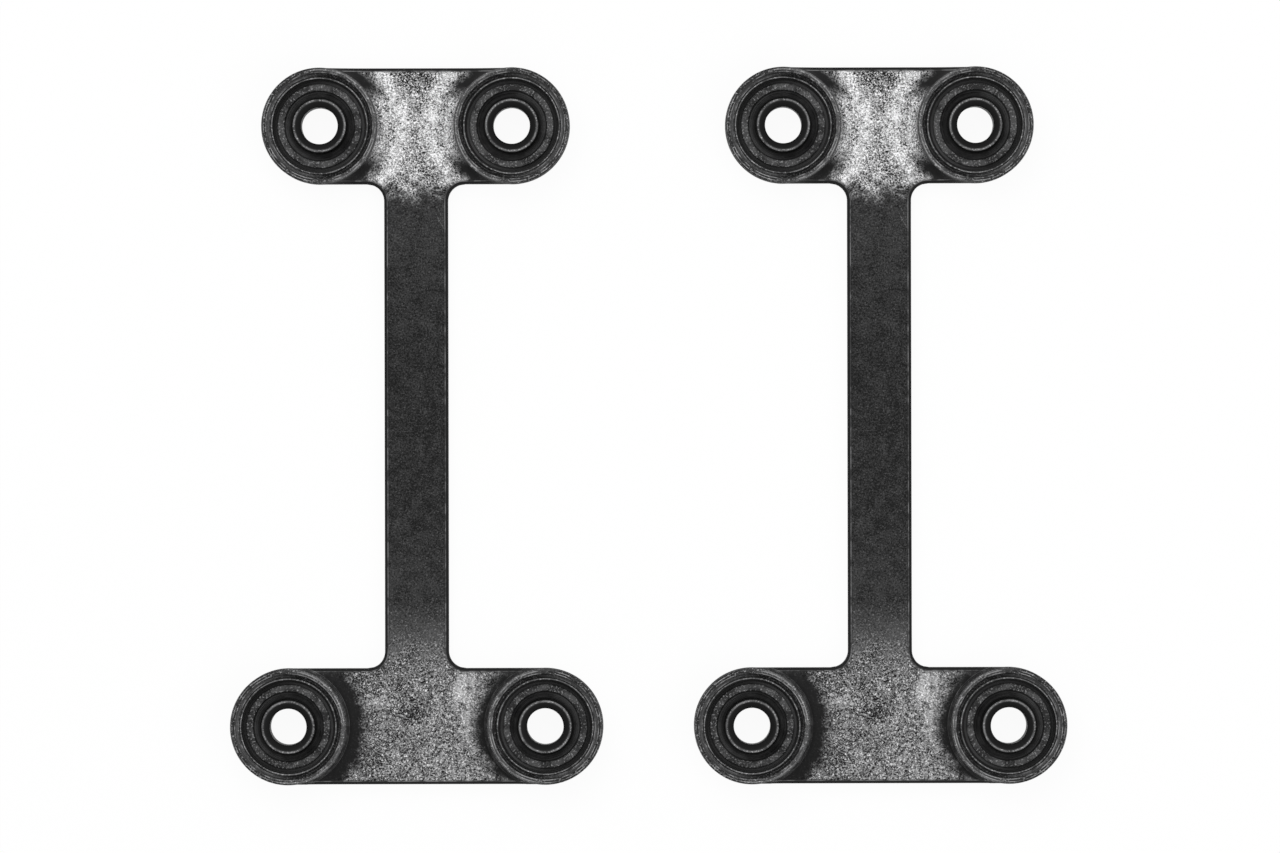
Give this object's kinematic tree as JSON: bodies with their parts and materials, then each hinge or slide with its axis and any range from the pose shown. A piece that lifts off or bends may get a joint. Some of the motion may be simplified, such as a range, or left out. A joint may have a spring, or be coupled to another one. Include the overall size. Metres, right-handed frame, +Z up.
{
  "type": "friction stay link plate pair",
  "caption": "Pair of blackened I-shaped link plates for a window friction stay, with a stepped socket at each corner holding a friction pivot with a swivelling bolt sleeve.",
  "frame": {"origin": "centre of the pair's footprint on the face that both plates lie on", "axes": "+Z up out of the sockets, +Y from the wide bars to the narrow bars, +X from the left plate to the right plate"},
  "size_m": [0.1872, 0.1606, 0.01],
  "materials": {
    "blackened_casting": "blackened, as cast with worn high spots",
    "sleeve_steel": "blackened, worn bright on the lip",
    "spring_steel": "oiled blue-grey",
    "washer_steel": "ground",
    "friction_plastic": "moulded, fine grain",
    "retainer_steel": "blackened, bright along its edge"
  },
  "bodies": {
    "left_plate": {"left_link_plate": "blackened_casting", "left_narrow_left_disc_spring": "spring_steel", "left_narrow_left_thrust_washer": "washer_steel", "left_narrow_left_friction_ring": "friction_plastic", "left_narrow_left_retainer_ring": "retainer_steel", "left_narrow_right_disc_spring": "spring_steel", "left_narrow_right_thrust_washer": "washer_steel", "left_narrow_right_friction_ring": "friction_plastic", "left_narrow_right_retainer_ring": "retainer_steel", "left_wide_left_disc_spring": "spring_steel", "left_wide_left_thrust_washer": "washer_steel", "left_wide_left_friction_ring": "friction_plastic", "left_wide_left_retainer_ring": "retainer_steel", "left_wide_right_disc_spring": "spring_steel", "left_wide_right_thrust_washer": "washer_steel", "left_wide_right_friction_ring": "friction_plastic", "left_wide_right_retainer_ring": "retainer_steel"},
    "right_plate": {"right_link_plate": "blackened_casting", "right_narrow_left_disc_spring": "spring_steel", "right_narrow_left_thrust_washer": "washer_steel", "right_narrow_left_friction_ring": "friction_plastic", "right_narrow_left_retainer_ring": "retainer_steel", "right_narrow_right_disc_spring": "spring_steel", "right_narrow_right_thrust_washer": "washer_steel", "right_narrow_right_friction_ring": "friction_plastic", "right_narrow_right_retainer_ring": "retainer_steel", "right_wide_left_disc_spring": "spring_steel", "right_wide_left_thrust_washer": "washer_steel", "right_wide_left_friction_ring": "friction_plastic", "right_wide_left_retainer_ring": "retainer_steel", "right_wide_right_disc_spring": "spring_steel", "right_wide_right_thrust_washer": "washer_steel", "right_wide_right_friction_ring": "friction_plastic", "right_wide_right_retainer_ring": "retainer_steel"},
    "left_narrow_left_sleeve": {"left_narrow_left_pivot_sleeve": "sleeve_steel"},
    "left_narrow_right_sleeve": {"left_narrow_right_pivot_sleeve": "sleeve_steel"},
    "left_wide_left_sleeve": {"left_wide_left_pivot_sleeve": "sleeve_steel"},
    "left_wide_right_sleeve": {"left_wide_right_pivot_sleeve": "sleeve_steel"},
    "right_narrow_left_sleeve": {"right_narrow_left_pivot_sleeve": "sleeve_steel"},
    "right_narrow_right_sleeve": {"right_narrow_right_pivot_sleeve": "sleeve_steel"},
    "right_wide_left_sleeve": {"right_wide_left_pivot_sleeve": "sleeve_steel"},
    "right_wide_right_sleeve": {"right_wide_right_pivot_sleeve": "sleeve_steel"}
  },
  "joints": [
    {"name": "right_plate_lift", "type": "slide", "parent": "left_plate", "child": "right_plate", "axis": [0, 0, 1], "range_m": [0, 0.06]},
    {"name": "left_narrow_left_swivel", "type": "hinge", "parent": "left_plate", "child": "left_narrow_left_sleeve", "pos_m": [-0.0734, 0.06725, 0], "axis": [0, 0, 1], "continuous": true},
    {"name": "left_narrow_right_swivel", "type": "hinge", "parent": "left_plate", "child": "left_narrow_right_sleeve", "pos_m": [-0.0304, 0.06725, 0], "axis": [0, 0, 1], "continuous": true},
    {"name": "left_wide_left_swivel", "type": "hinge", "parent": "left_plate", "child": "left_wide_left_sleeve", "pos_m": [-0.08065, -0.06725, 0], "axis": [0, 0, 1], "continuous": true},
    {"name": "left_wide_right_swivel", "type": "hinge", "parent": "left_plate", "child": "left_wide_right_sleeve", "pos_m": [-0.02315, -0.06725, 0], "axis": [0, 0, 1], "continuous": true},
    {"name": "right_narrow_left_swivel", "type": "hinge", "parent": "right_plate", "child": "right_narrow_left_sleeve", "pos_m": [0.0304, 0.06725, 0], "axis": [0, 0, 1], "continuous": true},
    {"name": "right_narrow_right_swivel", "type": "hinge", "parent": "right_plate", "child": "right_narrow_right_sleeve", "pos_m": [0.0734, 0.06725, 0], "axis": [0, 0, 1], "continuous": true},
    {"name": "right_wide_left_swivel", "type": "hinge", "parent": "right_plate", "child": "right_wide_left_sleeve", "pos_m": [0.02315, -0.06725, 0], "axis": [0, 0, 1], "continuous": true},
    {"name": "right_wide_right_swivel", "type": "hinge", "parent": "right_plate", "child": "right_wide_right_sleeve", "pos_m": [0.08065, -0.06725, 0], "axis": [0, 0, 1], "continuous": true}
  ]
}
